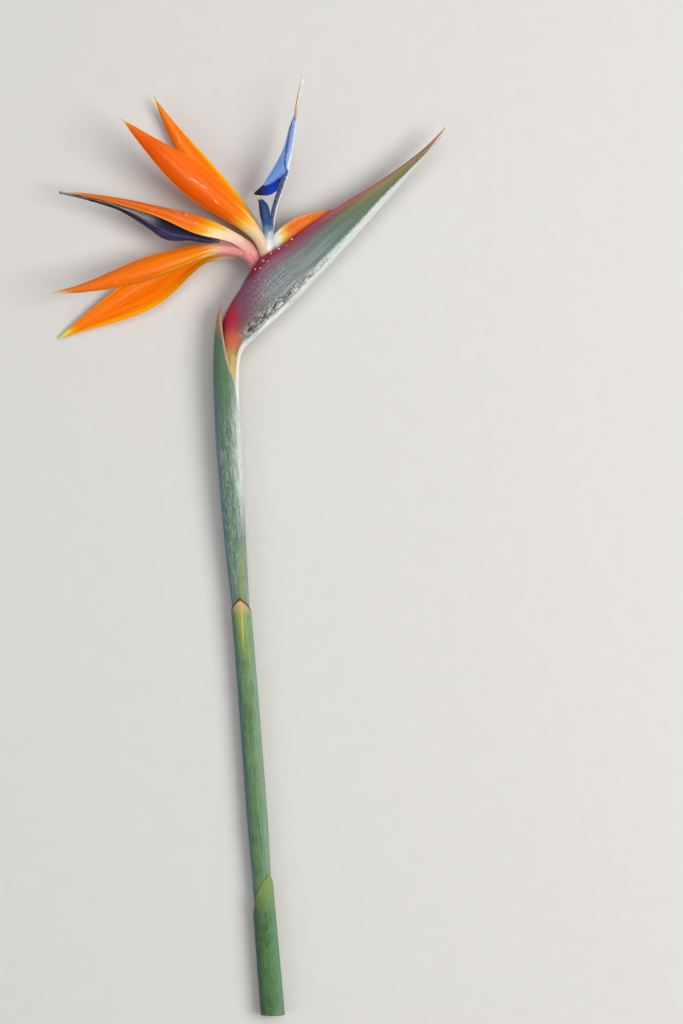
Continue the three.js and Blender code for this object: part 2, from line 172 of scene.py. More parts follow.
def shares(shape):
    """Each point of a shape in edit mode with its share across and along, from the UV map."""
    uv = shape.loops.layers.uv.active
    return {corner.vert: tuple(corner[uv].uv) for face in shape.faces for corner in face.loops}


def pick(piece, rule):
    """Selects the points whose share across and along pass a rule."""
    shape = bmesh.from_edit_mesh(piece.data)
    for point, (across, along) in shares(shape).items():
        if rule(across, along):
            point.select_set(True)
    bmesh.update_edit_mesh(piece.data)


def modify(piece, kind, **settings):
    """Adds a modifier with its settings and applies it."""
    take(piece)
    modifier = piece.modifiers.new(kind.title(), kind)
    for key, value in settings.items():
        setattr(modifier, key, value)
    bpy.ops.object.modifier_apply(modifier=modifier.name)


def subdivide(piece, levels):
    modify(piece, "SUBSURF", levels=levels, render_levels=levels)


def on_keel(across):
    return abs(across - 0.5) < 0.01


def crease_keel(piece, strength):
    """Sharpens the line of edges along the middle."""
    edit(piece)
    pick(piece, lambda across, along: on_keel(across))
    bpy.ops.transform.edge_crease(value=strength)
    leave()


def pleat(piece, columns, depth):
    """Presses every second line of points in, all along the piece."""
    edit(piece)
    pick(piece, lambda across, along: round(across * columns) % 2 == 0 and 0.03 < along < 0.985)
    bpy.ops.transform.shrink_fatten(value=-depth * MM)
    leave()


def ripple(piece, depth, grain, contrast):
    """Uneven lines in the surface, drawn out along the piece."""
    texture = bpy.data.textures.new(piece.name + "_ripple", "CLOUDS")
    texture.noise_scale = grain
    texture.noise_depth = 2
    texture.contrast = contrast
    layer = piece.data.uv_layers[0].name
    modify(piece, "DISPLACE", texture=texture, texture_coords="UV", uv_layer=layer, strength=depth * MM)


def thicken(piece, wall, thin, offset=0.0, inside=0):
    """Gives a sheet its wall. A rule of across and along gives the share of the wall that is left."""
    edit(piece)
    shape = bmesh.from_edit_mesh(piece.data)
    weights = {point.index: thin(*share) for point, share in shares(shape).items()}
    leave()
    group = piece.vertex_groups.new(name="wall")
    for index, weight in weights.items():
        group.add([index], weight, "REPLACE")
    modify(
        piece,
        "SOLIDIFY",
        thickness=wall * MM,
        offset=offset,
        use_even_offset=False,
        vertex_group=group.name,
        thickness_vertex_group=THINNEST,
        material_offset=inside,
    )


def close_seam(piece):
    """Joins the two long edges of a sheet that meet."""
    edit(piece)
    bpy.ops.mesh.select_all(action="SELECT")
    bpy.ops.mesh.remove_doubles(threshold=WELD * MM)
    leave()


def face_out(piece):
    """Turns every face outwards."""
    edit(piece)
    bpy.ops.mesh.select_all(action="SELECT")
    bpy.ops.mesh.normals_make_consistent(inside=False)
    leave()


def close_ends(piece):
    """Caps both open ends of a tube, with a small step in to the cap."""
    edit(piece)
    shape = bmesh.from_edit_mesh(piece.data)
    for start in (0, 1):
        bpy.ops.mesh.select_all(action="DESELECT")
        ring = {point for point, (across, along) in shares(shape).items() if abs(along - start) < 0.001}
        for edge in shape.edges:
            if edge.is_boundary and all(point in ring for point in edge.verts):
                edge.select_set(True)
        bpy.ops.mesh.edge_face_add()
        bpy.ops.mesh.inset(thickness=CAP_STEP * MM, depth=0.0)
        shape = bmesh.from_edit_mesh(piece.data)
    leave()
    face_out(piece)


def done(piece, slot, *nodes, angle=50):
    """Smooth shading, body, and hiding the solid that the piece stands for."""
    take(piece)
    bpy.ops.object.shade_smooth_by_angle(angle=math.radians(angle))
    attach(piece, "root")
    if nodes:
        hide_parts(*nodes)
    bpy.ops.object.select_all(action="DESELECT")


# Colours and shader building


def tint(code):
    """A screen colour such as FF7A05 as linear light."""
    parts = [int(code[i : i + 2], 16) / 255 for i in (0, 2, 4)]
    return tuple(c / 12.92 if c <= 0.04045 else ((c + 0.055) / 1.055) ** 2.4 for c in parts) + (1.0,)


def feed(socket, value):
    """Gives a socket a number, a screen colour or what another node puts out."""
    if isinstance(value, Value):
        value.tree.links.new(value.socket, socket)
    else:
        socket.default_value = tint(value) if isinstance(value, str) else value


def add_node(tree, kind, inputs, **settings):
    """Adds a shader node with its settings, and feeds its inputs."""
    node = tree.nodes.new("ShaderNode" + kind)
    for key, value in settings.items():
        setattr(node, key, value)
    for key, value in inputs.items():
        feed(node.inputs[key], value)
    return node


def add(tree, kind, output, inputs, **settings):
    """Adds a shader node and gives one of its outputs."""
    return Value(tree, add_node(tree, kind, inputs, **settings).outputs[output])


class Value:
    """What a shader node puts out. Sums, products and smooth steps of it are new ones."""

    def __init__(self, tree, socket):
        self.tree, self.socket = tree, socket

    def calc(self, kind, *others, clamp=False):
        inputs = dict(enumerate((self, *others)))
        return add(self.tree, "Math", 0, inputs, operation=kind, use_clamp=clamp)

    def __add__(self, other):
        return self.calc("ADD", other)

    def __sub__(self, other):
        return self.calc("SUBTRACT", other)

    def __mul__(self, other):
        return self.calc("MULTIPLY", other)

    def __truediv__(self, other):
        return self.calc("DIVIDE", other)

    def __abs__(self):
        return self.calc("ABSOLUTE")

    def band(self, low, high, start=0.0, end=1.0):
        """A smooth step: start below low, end above high."""
        inputs = {"Value": self, "From Min": low, "From Max": high, "To Min": start, "To Max": end}
        return add(self.tree, "MapRange", "Result", inputs, interpolation_type="SMOOTHSTEP")

    def fall(self, low, high):
        """A smooth step down: 1 below low, 0 above high."""
        return self.band(low, high, 1.0, 0.0)

    def near(self, level, low, high):
        """The lines where a pattern passes a level."""
        return abs(self - level).fall(low, high)

    def split(self):
        """The first two parts of a vector."""
        outputs = add_node(self.tree, "SeparateXYZ", {0: self}).outputs
        return Value(self.tree, outputs[0]), Value(self.tree, outputs[1])


def mix(share, a, b):
    """From the first colour to the second."""
    return add(share.tree, "Mix", 2, {"Factor": share, 6: a, 7: b}, data_type="RGBA")


def ramp(value, stops):
    """Colours at places along a value from 0 to 1."""
    node = add_node(value.tree, "ValToRGB", {"Fac": value})
    node.color_ramp.interpolation = "EASE"
    line = node.color_ramp.elements
    while len(line) < len(stops):
        line.new(0.5)
    for element, (place, colour) in zip(line, stops):
        element.position = place
        element.color = tint(colour)
    return Value(value.tree, node.outputs["Color"])


def vector(x, y, z=0.0):
    return add(x.tree, "CombineXYZ", 0, {0: x, 1: y, 2: z})


def cloud(place, scale, detail=3.0, roughness=0.55, warp=0.0):
    inputs = {"Vector": place, "Scale": scale, "Detail": detail, "Roughness": roughness, "Distortion": warp}
    return add(place.tree, "TexNoise", "Fac", inputs)


def crackle(place):
    """How far a point is from the nearest line of a net of cells."""
    inputs = {"Vector": place, "Scale": 1.0}
    return add(place.tree, "TexVoronoi", "Distance", inputs, feature="DISTANCE_TO_EDGE")


def share_group(name, inputs, outputs, build):
    """A node group for an effect of several materials. Build turns its inputs into its outputs."""
    tree = bpy.data.node_groups.new(name, "ShaderNodeTree")
    for label, value in inputs.items():
        kind = "NodeSocketVector" if isinstance(value, tuple) else "NodeSocketFloat"
        socket = tree.interface.new_socket(label, in_out="INPUT", socket_type=kind)
        socket.default_value = value
    for label in outputs:
        tree.interface.new_socket(label, in_out="OUTPUT", socket_type="NodeSocketFloat")
    source, result = tree.nodes.new("NodeGroupInput"), tree.nodes.new("NodeGroupOutput")
    made = build(*[Value(tree, source.outputs[label]) for label in inputs])
    for label, value in zip(outputs, made):
        feed(result.inputs[label], value)
    return tree


def streak_lines(across, along, count, length, seed):
    """Fine and broad lines along a piece."""
    x, y = across * count, along * length
    fine = cloud(vector(x, y, seed), 1.0, 3.0, 0.6)
    broad = cloud(vector(x * 0.22, y * 0.6, seed), 1.0, 2.0, 0.5)
    return fine.band(0.3, 0.7), broad.band(0.35, 0.65)


def margin_mask(across, width):
    """How near a point is to either long edge."""
    return (abs(across - 0.5).band(width * -1 + 0.5, 0.5),)


def bloom_masks(place, size):
    """The powdery wax on green parts, in soft patches with small bare specks."""
    patches, dots = cloud(place, size, 4.0, 0.6), cloud(place, size * 9.0, 1.0, 0.5)
    return patches.band(0.35, 0.65), dots.band(0.68, 0.76)


STREAKS = share_group(
    "lengthwise_streaks", {"Across": 0.5, "Along": 0.5, "Count": 40.0, "Length": 3.0, "Seed": 0.0},
    ["Fine", "Broad"], streak_lines,
)
MARGIN = share_group("long_margin", {"Across": 0.5, "Width": 0.08}, ["Mask"], margin_mask)
BLOOM = share_group("waxy_bloom", {"Place": (0, 0, 0), "Size": 60.0}, ["Wax", "Specks"], bloom_masks)


class Finish:
    """A material with its shader, the places that its patterns read and its colour so far."""

    def __init__(self, name, roughness=0.4, coat=0.0, glow=0.0, shine=0.25):
        self.material = bpy.data.materials.new(name)
        self.material.use_nodes = True
        self.tree = self.material.node_tree
        self.shader = self.tree.nodes["Principled BSDF"].inputs
        settings = {
            "Roughness": roughness,
            "Coat Weight": coat,
            "Coat Roughness": 0.25,
            "Specular IOR Level": shine,
            "Subsurface Weight": glow,
            "Subsurface Radius": (0.0025, 0.0012, 0.0006),
            "Subsurface Scale": 1.0,
        }
        for label, value in settings.items():
            feed(self.shader[label], value)
        self.across, self.along = add(self.tree, "UVMap", "UV", {}, uv_map="UVMap").split()
        self.off_keel = abs(self.across - 0.5)
        self.place = add(self.tree, "TexCoord", "Object", {})
        # The place seen from above, in millimetres.
        self.x, self.y = [value / MM - home for value, home in zip(self.place.split(), HOME)]

    def put(self, group, **inputs):
        """Places a shared effect in the material."""
        node = add_node(self.tree, "Group", inputs, node_tree=group)
        return [Value(self.tree, output) for output in node.outputs]

    def streaks(self, count, length, seed):
        return self.put(STREAKS, Across=self.across, Along=self.along, Count=count, Length=length, Seed=seed)

    def margin(self, width):
        return self.put(MARGIN, Across=self.across, Width=width)[0]

    def pattern(self, across, along, seed, detail=2.0, roughness=0.55, warp=0.0):
        """A cloud that follows the piece, with so many patches across and along it."""
        return cloud(vector(self.across * across, self.along * along, seed), 1.0, detail, roughness, warp)

    def spot(self, x, y, reach_x, reach_y, ragged=0.0):
        """A soft round patch seen from above."""
        dx, dy = (self.x + ragged - x) / reach_x, (self.y + ragged - y) / reach_y
        return (dx * dx + dy * dy).calc("SQRT").fall(0.2, 1.0)

    def stroke(self, points, width):
        """A soft line through points seen from above."""
        nearest = None
        for (ax, ay), (bx, by) in zip(points, points[1:]):
            run_x, run_y = bx - ax, by - ay
            square = run_x**2 + run_y**2
            px, py = self.x - ax, self.y - ay
            share = (px * (run_x / square)).calc("ADD", py * (run_y / square), clamp=True)
            dx, dy = px - share * run_x, py - share * run_y
            far = (dx * dx + dy * dy).calc("SQRT")
            nearest = nearest.calc("MINIMUM", far) if nearest else far
        return nearest.fall(width * 0.3, width)

    def paint(self, colour, share):
        """Covers the colour so far with another one."""
        self.skin = mix(share, self.skin, colour)

    def rough(self, value):
        feed(self.shader["Roughness"], value)

    def bump(self, height, distance=0.0003, strength=0.6):
        inputs = {"Distance": distance, "Strength": strength, "Height": height}
        feed(self.shader["Normal"], add(self.tree, "Bump", "Normal", inputs))

    def made(self):
        feed(self.shader["Base Color"], self.skin)
        return self.material


def sepal_finish(
    name, colours, shade, edge, seed, dark_side=0.5, pale_base=0.12, sheen_at=0.5, sheen=(0.35, 0.8),
    right_edge=0.0, glints=(),
):
    """Orange sepal: colours from base to tip, painted shade on one wing, yellow edges, a painted salmon sheen
    on the ridge, painted highlight ticks and glints, and fine veins with folds darkened by painted shade.
    """
    f = Finish(name, roughness=0.38, coat=0.05, glow=0.06, shine=0.06)
    u, v = f.across, f.along
    fine, broad = f.streaks(30.0, 2.2, seed)
    clear = v.band(pale_base, pale_base + 0.14) * v.fall(0.88, 0.94)
    f.skin = ramp(v + (broad - 0.5) * 0.07 + (fine - 0.5) * 0.045, colours)
    # Painted shade: the wing below dark_side is redder and darker, less so towards the tip.
    f.paint(shade, u.fall(dark_side - 0.2, dark_side + 0.12) * v.band(0.62, 0.9, 0.85, 0.4) * clear)
    f.paint("DE4600", broad * 0.32 * clear)
    f.paint("FFA000", fine * 0.16 * clear)
    f.paint(edge, f.margin(0.09) * clear * 0.7)
    if right_edge:
        f.paint("FFB00A", u.band(1.0 - right_edge, 1.0 - right_edge * 0.2) * clear * 0.9)
    # Painted shade in the folds, which also dent the bump.
    shaded_folds = f.pattern(8.0, 1.1, seed + 2.0).near(0.5, 0.0, 0.035) * clear * v.fall(0.8, 0.92)
    f.paint("C24A00", shaded_folds * 0.16)
    # Painted salmon sheen, a highlight in patches along the ridge.
    from_ridge = abs(u - sheen_at)
    ridge = from_ridge.fall(0.02, 0.13) * f.pattern(9.0, 5.0, seed + 4.0, 3.0).band(0.42, 0.6)
    start, end = sheen
    ridge = ridge * v.band(start - 0.08, start + 0.05) * v.fall(end - 0.1, end + 0.08)
    f.paint("EC9260", ridge * 0.36)
    # Painted highlight ticks near the ridge.
    highlight_ticks = f.pattern(30.0, 15.0, seed + 6.0, 1.0).band(0.74, 0.79) * from_ridge.fall(0.1, 0.3) * clear
    f.paint("FBE3CC", highlight_ticks * 0.8)
    # Painted highlight glints along the given lines, broken into pieces.
    broken = cloud(f.place, 420.0, 2.0).band(0.4, 0.6)
    for line in glints:
        f.paint("FBC492", f.stroke(line, 0.8) * broken * 0.5)
    f.rough(fine.band(0.0, 1.0, 0.3, 0.46))
    f.bump(fine - shaded_folds, strength=0.55)
    return f.made()


# Camera, surface and light

CAMERA_PLACE = (63.5, -81.2, 2488)
STUDIO_BLUE = (0.95, 0.97, 1.0)


def lamp(name, place, size, power, colour):
    """A round soft lamp that points at the middle of the surface."""
    light = bpy.data.lights.new(name, "AREA")
    light.shape = "DISK"
    light.size = size
    light.energy = power
    light.color = colour
    holder = bpy.data.objects.new(name, light)
    holder.location = place
    holder.rotation_euler = (-Vector(place)).to_track_quat("-Z", "Y").to_euler()
    scene.collection.objects.link(holder)


def build_stage():
    bpy.ops.mesh.primitive_plane_add(size=6.0, location=(0, 0, 0))
    floor = bpy.context.object
    floor.name = "surface"
    f = Finish("pale_surface", roughness=0.6)
    f.skin = mix(cloud(f.place, 90.0, 3.0), "CBC9C5", "D0CECA")
    floor.data.materials.append(f.made())

    camera = bpy.data.objects.new("camera", bpy.data.cameras.new("camera"))
    scene.collection.objects.link(camera)
    camera.data.lens = 150
    camera.data.sensor_fit = "VERTICAL"
    camera.data.sensor_height = 36
    camera.data.clip_end = 20
    camera.location = spot(*CAMERA_PLACE)
    scene.camera = camera

    lamp("key", (1.3, 0.0, 1.72), 1.3, 39, (1.0, 0.98, 0.95))
    lamp("top", (0.1, 1.1, 2.1), 1.4, 13, (1.0, 1.0, 1.0))
    lamp("fill", (-1.5, -0.6, 1.7), 1.6, 10, STUDIO_BLUE)

    world = bpy.data.worlds.new("studio")
    world.use_nodes = True
    background = world.node_tree.nodes["Background"].inputs
    background["Color"].default_value = (*STUDIO_BLUE, 1.0)
    background["Strength"].default_value = 0.27
    scene.world = world
    scene.view_settings.view_transform = "Standard"


build_stage()

# Blades: sepals, tongues and the hood


def blade_wall(across, along):
    """The share of a blade's wall that is left: little at its edges and less towards its tip."""
    return max(0.05, min(1, (0.5 - abs(across - 0.5)) * 5)) * (1 - 0.6 * smooth(0.85, 1, along))


def blade(
    name, slot, node, finish, keel, left, right, belly=0.1, columns=8, rows=12, needle=0.0, thickness=0.8,
    crease=0.5, pleats=0.045, waves=None,
):
    """A folded blade between three rails: its keel and its two edges, narrowed to a needle at the tip."""
    keel_at, left_at, right_at = rail(keel), rail(left), rail(right)
    ridge = keel_at(0.5) - (left_at(0.5) + right_at(0.5)) / 2
    facing = (right_at(0.5) - left_at(0.5)).cross(heading(keel_at, 0.5))
    side = -1 if ridge.dot(facing) < 0 else 1

    def place(across, along):
        fold, left_rim, right_rim = keel_at(along), left_at(along), right_at(along)
        if needle:
            pinch = 1 - 0.82 * smooth(1 - needle, 1 - needle * 0.5, along)
            left_rim, right_rim = fold.lerp(left_rim, pinch), fold.lerp(right_rim, pinch)
        run = heading(keel_at, along)
        share = across * 2 - 1
        edge = left_rim if share < 0 else right_rim
        first = (fold - left_rim).cross(run).normalized()
        second = (right_rim - fold).cross(run).normalized()
        normal = first.lerp(second, min(max(0.5 + share * 1.5, 0), 1)).normalized() * side
        bulge = belly * (edge - fold).length * math.sin(math.pi * abs(share))
        return fold.lerp(edge, abs(share)) + normal * bulge

    piece = grid(name, columns, rows, place, finish)
    crease_keel(piece, crease)
    subdivide(piece, 2)
    if pleats:
        pleat(piece, columns * 4, pleats)
    thicken(piece, thickness, blade_wall)
    subdivide(piece, 1)
    if waves:
        ripple(piece, *waves)
    done(piece, slot, node)


SEPAL_BASE = [(0.0, "DDB496"), (0.13, "E2C6AA"), (0.19, "EACA8C"), (0.24, "F4B438"), (0.31, "F67A04")]

blade(
    "sepal_2_near", "sepal", "floret_2_sepal_near",
    sepal_finish(
        "near_sepal_orange",
        SEPAL_BASE + [(0.45, "F06202"), (0.7, "EE6002"), (0.86, "FA7A08"), (0.895, "EDB020"),
                      (0.93, "DCCC50"), (0.97, "C6C69A")],
        "D84A04", "FA8A06", 3.1, pale_base=0.2, sheen=(0.42, 0.86),
        glints=[[(-24.4, 111.4), (-19, 108.4), (-14.5, 105.6)], [(-10.4, 99), (-7, 96.3)]],
    ),
    [(20.2, 67, 18.6), (14.4, 80.8, 22.2), (-2, 93, 26), (-22.6, 109.3, 31.5), (-43.5, 130.3, 38.5),
     (-56.6, 140.2, 42), (-63.8, 144.3, 44)],
    [(16.4, 66.4, 15.6), (11.9, 77.6, 19.3), (-7.3, 89.3, 21.5), (-28.5, 102.8, 26.5), (-47.7, 124.1, 34.5),
     (-58.3, 137.9, 41), (-63.9, 143.8, 43.8)],
    [(23.6, 70, 15.4), (16.2, 83.6, 19.2), (2.9, 100, 22), (-14.1, 117.2, 27), (-35.1, 129.2, 35.5),
     (-53.2, 138.6, 41), (-63.3, 144.8, 43.8)],
    needle=0.14,
)

blade(
    "sepal_2_far", "sepal", "floret_2_sepal_far",
    sepal_finish(
        "far_sepal_orange",
        SEPAL_BASE + [(0.6, "F97602"), (0.84, "F68C08"), (0.89, "F0B410"), (0.93, "DCD03A"),
                      (0.97, "CCCC70")],
        "E86000", "F9A008", 7.7, dark_side=0.42, pale_base=0.2, sheen_at=0.6, sheen=(0.5, 0.85),
        right_edge=0.2,
        glints=[[(-31.3, 135.1), (-29, 130.5)]],
    ),
    [(19.6, 66.5, 10), (11.2, 83, 10), (-5.4, 100.6, 10.4), (-22.3, 121.4, 9.9), (-35.5, 142.6, 8.8),
     (-42.2, 154, 7.8), (-46, 161.4, 7)],
    [(16.8, 66.5, 9), (7, 81, 7.8), (-10.7, 97.4, 7.2), (-28, 118.2, 7.2), (-37.8, 140.2, 6.9),
     (-43, 152.2, 6.7), (-46.3, 160.8, 6.8)],
    [(22.2, 68, 9), (16, 85.6, 7.6), (4, 103, 6.8), (-15.2, 125.6, 6.3), (-30.9, 142.3, 6.2),
     (-39.5, 152.5, 6.4), (-45.4, 161.2, 6.8)],
    needle=0.14,
)

blade(
    "sepal_2_side", "sepal", "floret_2_sepal_side",
    sepal_finish(
        "side_sepal_orange",
        [(0.0, "DEDCD6"), (0.18, "E0DAC6"), (0.28, "E2B850"), (0.4, "DE9438"), (0.52, "DC8238"),
         (1.0, "DE7830")],
        "DA6C20", "E09A60", 11.3, pale_base=0.26, sheen_at=0.25, sheen=(0.3, 0.9),
    ),
    [(23.6, 64.4, 12.6), (31, 70, 12.5), (41, 77.6, 12.8), (49.4, 85.2, 13.2), (58.2, 93.4, 13.6)],
    [(22.8, 77.8, 15.4), (28.4, 83.4, 17.2), (37.6, 89.6, 16.8), (47.6, 92.3, 15), (58, 94.3, 14)],
    [(22.8, 77.8, 9.8), (28.4, 83.6, 8.4), (37.6, 90.2, 9.2), (47.6, 92.7, 11.2), (58, 94.3, 13.2)],
    rows=9, crease=0.2,
)

blade(
    "sepal_1_upper", "sepal", "floret_1_sepal_upper",
    sepal_finish(
        "upper_sepal_orange",
        [(0.0, "DC9490"), (0.1, "E2A89C"), (0.17, "E6CCB4"), (0.24, "E8D49E"), (0.3, "EDB41E"),
         (0.38, "EC9014"), (0.5, "E46A0A"), (0.86, "DA6E1C"), (0.92, "DE9A50"), (0.97, "E6DAAA")],
        "E4600C", "EA9A34", 5.2, pale_base=0.26, sheen_at=0.24, sheen=(0.34, 0.9),
        glints=[[(-33.8, 94), (-30.2, 91.6)], [(-27.3, 91.1), (-23.8, 89.6)], [(-23, 86.2), (-20, 85.4)]],
    ),
    [(12.5, 69.5, 17.2), (3.4, 79.3, 20), (-14.8, 89.4, 20.5), (-35.6, 94.3, 21), (-58.7, 99.3, 21.5),
     (-79, 102.3, 21.8), (-97, 104.2, 22)],
    [(9.6, 67.6, 18.6), (-1, 75.2, 22.6), (-20.5, 78.9, 25.5), (-38.9, 87.9, 25.5), (-59.8, 95, 24),
     (-79.5, 100.2, 23), (-96.9, 103.8, 22.5)],
    [(14, 71.4, 15.6), (3.2, 80.6, 15.4), (-20.5, 80, 15), (-38.9, 88.6, 16.5), (-59.8, 95.4, 18.5),
     (-79.5, 100.6, 20.3), (-96.9, 103.9, 21.5)],
    thickness=0.7, needle=0.055,
)

blade(
    "sepal_1_middle", "sepal", "floret_1_sepal_middle",
    sepal_finish(
        "middle_sepal_orange",
        [(0.0, "D88880"), (0.1, "D89496"), (0.15, "E0B4A0"), (0.19, "EEC470"), (0.25, "F49A0C"),
         (0.6, "F2700A"), (0.9, "E27620"), (0.94, "E2B45A"), (0.97, "D2C49A")],
        "F06E0A", "F68C10", 9.4, sheen=(0.3, 0.6),
    ),
    [(7, 69.2, 19), (-8.2, 71, 21.8), (-25.1, 65.5, 23.5), (-44.1, 58.4, 26), (-64.1, 52.5, 29),
     (-84.7, 47.4, 32), (-104.3, 44.5, 34)],
    [(6.4, 72.4, 18), (-10, 74.6, 18.8), (-29.9, 71.5, 19), (-51.8, 65.7, 21.5), (-72.4, 56.3, 26),
     (-89.4, 48.9, 30.5), (-104.1, 45, 33.8)],
    [(5.6, 66.6, 18), (-9.6, 68, 18.6), (-26.5, 61.2, 18), (-45.5, 53.5, 20.5), (-64.9, 48.4, 25),
     (-84.8, 45.4, 30), (-104.1, 44, 33.8)],
    needle=0.055,
)

blade(
    "sepal_1_lower", "sepal", "floret_1_sepal_lower",
    sepal_finish(
        "lower_sepal_orange",
        [(0.0, "DEA098"), (0.08, "E4C69A"), (0.13, "F0B83C"), (0.2, "F8A008"), (0.3, "FF8A04"),
         (0.6, "FF7A04"), (0.9, "FC8006"), (0.94, "EFC41C"), (0.98, "EADA60")],
        "FB7804", "FF9E0C", 13.8, pale_base=0.06, sheen_at=0.3, right_edge=0.28,
    ),
    [(6, 68, 11), (-12.4, 68.6, 8.6), (-27, 61, 4.8), (-42.2, 50.9, 2.3), (-62.7, 40.4, 1.1),
     (-84.2, 29.6, 0.9), (-101.4, 19.6, 2.2)],
    [(4.6, 71, 11.4), (-15, 72.3, 11), (-34.9, 67.5, 9.5), (-54.8, 57.7, 7.5), (-74.7, 42.7, 5.5),
     (-89.3, 30.8, 3.8), (-101.6, 20.2, 2.6)],
    [(4, 66, 11.4), (-14, 64.4, 11), (-25.7, 54.7, 9), (-40.3, 40.6, 7), (-61.9, 30.8, 5),
     (-86.4, 24.3, 3.3), (-101, 19.3, 2.6)],
    needle=0.055,
)

# Stalk and sheaths

STALK_RADII = steps([
    (CUT_END, 5.75), (-330, 5.5), (-291, 4.5), (-270, 4.9), (-234, 4.85), (-190, 4.8), (-162, 4.6),
    (-142, 3.65), (-131, 4.15), (-112, 4.65), (-94, 5.15), (-60, 5.7), (-40, 5.8), (-10, 5.2), (0, 3.7),
])


def round_stem(y, angle, reach):
    centre = stem_centre(y)
    return centre.x + math.cos(angle) * reach, y, max(centre.z + math.sin(angle) * reach, LOWEST)


def build_stalk():
    """The core that the sheaths wrap, with its cut end."""
    f = Finish("stalk_flesh", roughness=0.5, glow=0.1)
    fine, _ = f.streaks(90.0, 14.0, 1.3)
    pores = cloud(f.place, 2600.0, 1.0)
    cut = f.y.band(CUT_END + 0.3, CUT_END + 0.05)
    f.skin = mix(fine, "A9BDA0", "DCE6D6")
    f.paint(mix(pores.band(0.45, 0.6), "C6D3A4", "E9EED6"), cut)
    f.bump(mix(cut, fine, pores))

    def place(across, along):
        y = CUT_END - CUT_END * along
        return round_stem(y, -math.pi / 2 + 2 * math.pi * across, STALK_RADII(y))

    piece = grid("stalk_core", 16, 26, place, f.made())
    close_seam(piece)
    subdivide(piece, 2)
    close_ends(piece)
    done(piece, "stalk", "stalk", angle=40)


build_stalk()


def sheath_finish(name, tip_angle, body, shade, light, left, right, seed, fade=(-500, -490)):
    """Waxy green bract, finely lined: bluish on its left side, painted light on its right side, and pale
    grain and wisps of wax.
    """
    f = Finish(name, roughness=0.5, coat=0.05, glow=0.05)
    fine, broad = f.streaks(150.0, 26.0, seed)
    wax, specks = f.put(BLOOM, Place=f.place, Size=70.0)
    f.skin = mix(wax, body, shade)
    f.paint(light, broad * 0.3)
    # How far the surface faces right, towards the key lamp: bluish on the side facing left, painted light on
    # the side facing right.
    facing_right = (f.across * (2 * math.pi) + (tip_angle + math.pi)).calc("COSINE") + broad * 0.2
    f.paint(left, facing_right.band(-0.35, -0.75) * 0.9)
    # The painted light on the right side fades out lower down the stalk.
    right_light_share = f.y.band(*fade, 0.15, 1.0)
    f.paint(right, facing_right.band(0.1, 0.75) * right_light_share * 0.4)
    f.paint(right, facing_right.band(0.5, 1.02) * right_light_share * 0.85)
    f.paint(shade, fine * 0.3)
    grain = f.pattern(90.0, 60.0, seed, 3.0, 0.65)
    f.paint(right, grain.band(0.5, 0.72) * wax * 0.32)
    wisps = f.pattern(26.0, 16.0, seed + 1, 2.0, 0.5, 1.2).near(0.5, 0.0, 0.06)
    f.paint(right, wisps * f.y.band(-22, -50) * 0.24)
    f.paint("39493A", specks * 0.6)
    f.rough(fine.band(0, 1, 0.42, 0.6))
    f.bump(fine + grain * 0.6)
    return f, fine


def dry_edge(f, colour, start, share=1.0):
    """The thin dry rim of the mouth."""
    f.paint(colour, f.along.band(start, min(start + 0.02, 0.998)) * share)
    return f.made()


def lower_sheath_green():
    f, _ = sheath_finish(
        "lower_sheath_green", 0.24 * math.pi, "466E3A", "365A2E", "648E50", "30504A", "6A9470", 2.2
    )
    f.paint("8CA04A", f.y.band(-318, -297) * 0.5)
    return dry_edge(f, "B98A4E", 0.965)


def middle_sheath_green():
    """With a tan point and yellow-green stripes below it."""
    f, fine = sheath_finish(
        "middle_sheath_green", 0.5 * math.pi, "5C8252", "466A40", "7CA070", "46687A", "88A486", 4.4
    )
    stripes = f.y.band(-186, -142) * f.off_keel.fall(0.04, 0.17) * f.pattern(44.0, 3.0, 8.5).band(0.42, 0.56)
    f.paint("98AA4C", stripes * 0.75)
    bright = f.stroke([(5.6, -128), (6.1, -146), (7.2, -166)], 0.9) * f.y.band(-166, -148)
    f.paint("CECA4C", bright * 0.62)
    f.paint("D8A680", f.y.band(-143, -133.5) * fine.band(0.0, 1.0, 0.65, 1.0) * 0.85)
    return dry_edge(f, "5E2C14", 0.962)


def upper_sheath_green():
    """With a tan point and margin."""
    f, _ = sheath_finish(
        "upper_sheath_green", math.pi, "5A785E", "4A6850", "829E88", "52788C", "E2EAE7", 6.1, (-98, -56)
    )
    f.paint("56774E", f.y.band(-30, 0) * 0.6)
    low = f.stroke([(5.2, -96), (5.6, -112), (6.6, -134)], 2.2) * f.y.band(-96, -112)
    f.paint("8C9650", low * 0.6)
    f.paint("C48E54", f.y.band(17, 33) * (f.y * -0.16 + f.x).band(-14.5, -12.5, 0.55, 1.0))
    f.paint("CFA48C", f.along.band(0.88, 0.95) * f.y.band(-8, 6) * 0.9)
    return dry_edge(f, "CDA184", 0.965, f.y.band(-14, 4))


def sheath(name, slot, node, finish, foot, tip_angle, mouth, outer, wall=0.75, columns=24, rows=14):
    """A tube that wraps the stalk, with a slanted mouth that ends in a point."""
    outer_at, mouth_at = steps(outer), graph(mouth)

    def place(across, along):
        turn = abs(across * 2 - 1)
        angle = tip_angle + math.pi + 2 * math.pi * across
        share = 1 - (1 - along) ** 1.5
        y = foot + (mouth_at(turn) - foot) * share
        return round_stem(y, angle, outer_at(y))

    piece = grid(name, columns, rows, place, finish)
    close_seam(piece)
    face_out(piece)
    edit(piece)
    pick(piece, lambda across, along: on_keel(across) and along > 0.999)
    bpy.ops.transform.vert_crease(value=1.0)
    leave()
    subdivide(piece, 2)
    pleat(piece, columns * 4, 0.035)
    thicken(piece, wall, lambda across, along: 1 - 0.75 * smooth(0.8, 1, along), offset=-1)
    done(piece, slot, node)


